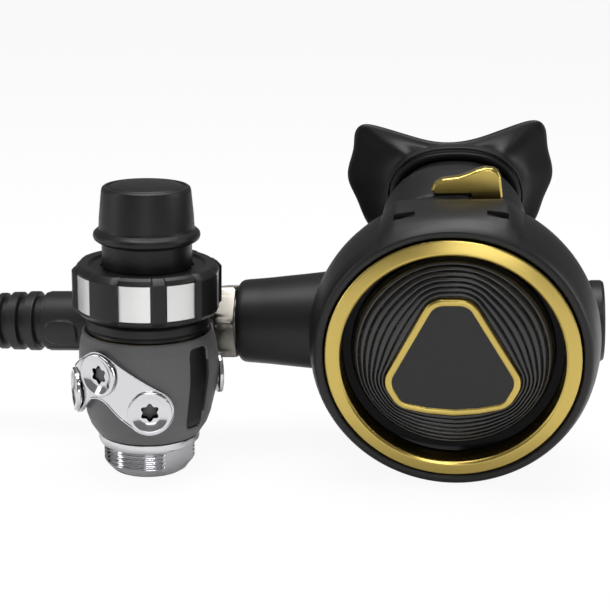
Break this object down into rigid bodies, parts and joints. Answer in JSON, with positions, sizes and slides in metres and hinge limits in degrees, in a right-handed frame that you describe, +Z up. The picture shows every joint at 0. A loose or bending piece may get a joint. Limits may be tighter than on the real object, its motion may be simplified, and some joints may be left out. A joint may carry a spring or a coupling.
{
  "type": "scuba regulator set",
  "caption": "Breathing regulator set: an upright first stage with a threaded handwheel inlet and dust cap, joined by a low pressure hose to a round second stage with purge cover and mouthpiece.",
  "frame": {"origin": "centre of the flat foot of the first stage's spring retainer, on the surface that the set stands on", "axes": "+Z up along the first stage's axis, +X towards the second stage, -Y towards the viewer and the purge cover"},
  "size_m": [0.3702, 0.1714, 0.0999],
  "materials": {
    "satin_nickel": "satin",
    "polished_chrome": "polished",
    "brass": "machined",
    "spring_steel": "satin",
    "gold_coat": "satin metallic",
    "black_polymer": "fine satin",
    "gloss_black": "gloss",
    "graphite_cover": "satin",
    "badge_grey": "satin",
    "grey_rubber": "matte",
    "black_rubber": "matte",
    "black_silicone": "satin"
  },
  "bodies": {
    "first_stage": {"spring_retainer": "satin_nickel", "first_stage_body": "brass", "body_cover": "grey_rubber", "port_plate": "polished_chrome", "port_plug_front": "polished_chrome", "port_plug_front_left": "polished_chrome", "port_plug_left": "polished_chrome", "port_plug_rear_left": "polished_chrome", "port_plug_rear_right": "polished_chrome", "main_spring": "spring_steel", "first_stage_diaphragm": "black_rubber", "poppet_spring": "spring_steel", "high_pressure_seat": "brass", "swivel_collar": "black_polymer", "inlet_bolt": "polished_chrome", "inlet_filter": "brass", "filter_clip": "spring_steel", "inlet_seal": "black_rubber", "first_stage_fitting": "polished_chrome", "low_pressure_hose": "black_rubber", "hose_sleeve": "black_rubber", "hose_ferrule": "polished_chrome", "swivel_nut": "satin_nickel"},
    "first_stage_valve": {"spring_pad": "brass", "push_pin": "brass", "high_pressure_poppet": "spring_steel"},
    "handwheel": {"handwheel_hub": "satin_nickel", "handwheel_grip": "black_polymer"},
    "dust_cap": {"dust_cap": "black_polymer"},
    "second_stage": {"second_stage_case": "black_polymer", "barrel_end_cap": "black_polymer", "front_ring": "gold_coat", "purge_bezel": "gloss_black", "purge_spring": "spring_steel", "breathing_diaphragm": "black_silicone", "valve_barrel": "brass", "inlet_orifice": "polished_chrome", "demand_spring": "spring_steel", "balance_chamber": "brass", "top_panel": "black_polymer", "mouthpiece": "black_silicone", "mouthpiece_clamp": "black_polymer", "exhaust_tee": "black_polymer"},
    "purge": {"purge_cover": "graphite_cover", "badge_trim": "gold_coat", "badge_panel": "badge_grey"},
    "diaphragm_disc": {"diaphragm_disc": "spring_steel"},
    "demand_lever": {"demand_lever": "spring_steel"},
    "demand_poppet": {"demand_poppet": "black_polymer"},
    "venturi": {"venturi_lever": "gold_coat", "venturi_vane": "black_polymer"},
    "exhaust_valve": {"exhaust_valve": "black_silicone"}
  },
  "joints": [
    {"name": "handwheel_spin", "type": "hinge", "parent": "first_stage", "child": "handwheel", "pos_m": [0, 0, 0.055], "axis": [0, 0, 1], "continuous": true},
    {"name": "dust_cap_pull", "type": "slide", "parent": "handwheel", "child": "dust_cap", "axis": [0, 0, 1], "range_m": [0, 0.03]},
    {"name": "first_stage_valve_lift", "type": "slide", "parent": "first_stage", "child": "first_stage_valve", "axis": [0, 0, 1], "range_m": [0, 0.0008], "stiffness_N_per_m": 2500, "deforming": ["main_spring", "first_stage_diaphragm", "poppet_spring"]},
    {"name": "second_stage_swivel", "type": "hinge", "parent": "first_stage", "child": "second_stage", "pos_m": [0.02349, 0.02429, 0.03806], "axis": [0.9902, -0.1284, 0.0554], "continuous": true},
    {"name": "purge_press", "type": "slide", "parent": "second_stage", "child": "purge", "axis": [0.121, 0.9851, 0.1219], "range_m": [0, 0.0025], "stiffness_N_per_m": 400, "deforming": ["purge_spring", "breathing_diaphragm"]},
    {"name": "diaphragm_travel", "type": "slide", "parent": "second_stage", "child": "diaphragm_disc", "axis": [0.121, 0.9851, 0.1219], "range_m": [0, 0.0025]},
    {"name": "demand_lever_swing", "type": "hinge", "parent": "second_stage", "child": "demand_lever", "pos_m": [0.07704, 0.00983, 0.04019], "axis": [-0.0702, -0.114, 0.991], "range_deg": [0, 8.5]},
    {"name": "demand_poppet_slide", "type": "slide", "parent": "second_stage", "child": "demand_poppet", "axis": [0.9902, -0.1284, 0.0554], "range_m": [0, 0.0005], "deforming": ["demand_spring"]},
    {"name": "venturi_swing", "type": "hinge", "parent": "second_stage", "child": "venturi", "pos_m": [0.09876, -0.00183, 0.08338], "axis": [-0.0702, -0.114, 0.991], "range_deg": [0, 35]},
    {"name": "exhaust_valve_lift", "type": "slide", "parent": "second_stage", "child": "exhaust_valve", "axis": [0.121, 0.9851, 0.1219], "range_m": [0, 0.002], "stiffness_N_per_m": 15}
  ],
  "couplings": [
    {"joint": "diaphragm_travel", "follows": "purge_press", "ratio": 1},
    {"joint": "demand_lever_swing", "follows": "purge_press", "rad_per_m": 58.643},
    {"joint": "demand_poppet_slide", "follows": "purge_press", "ratio": 0.2}
  ]
}
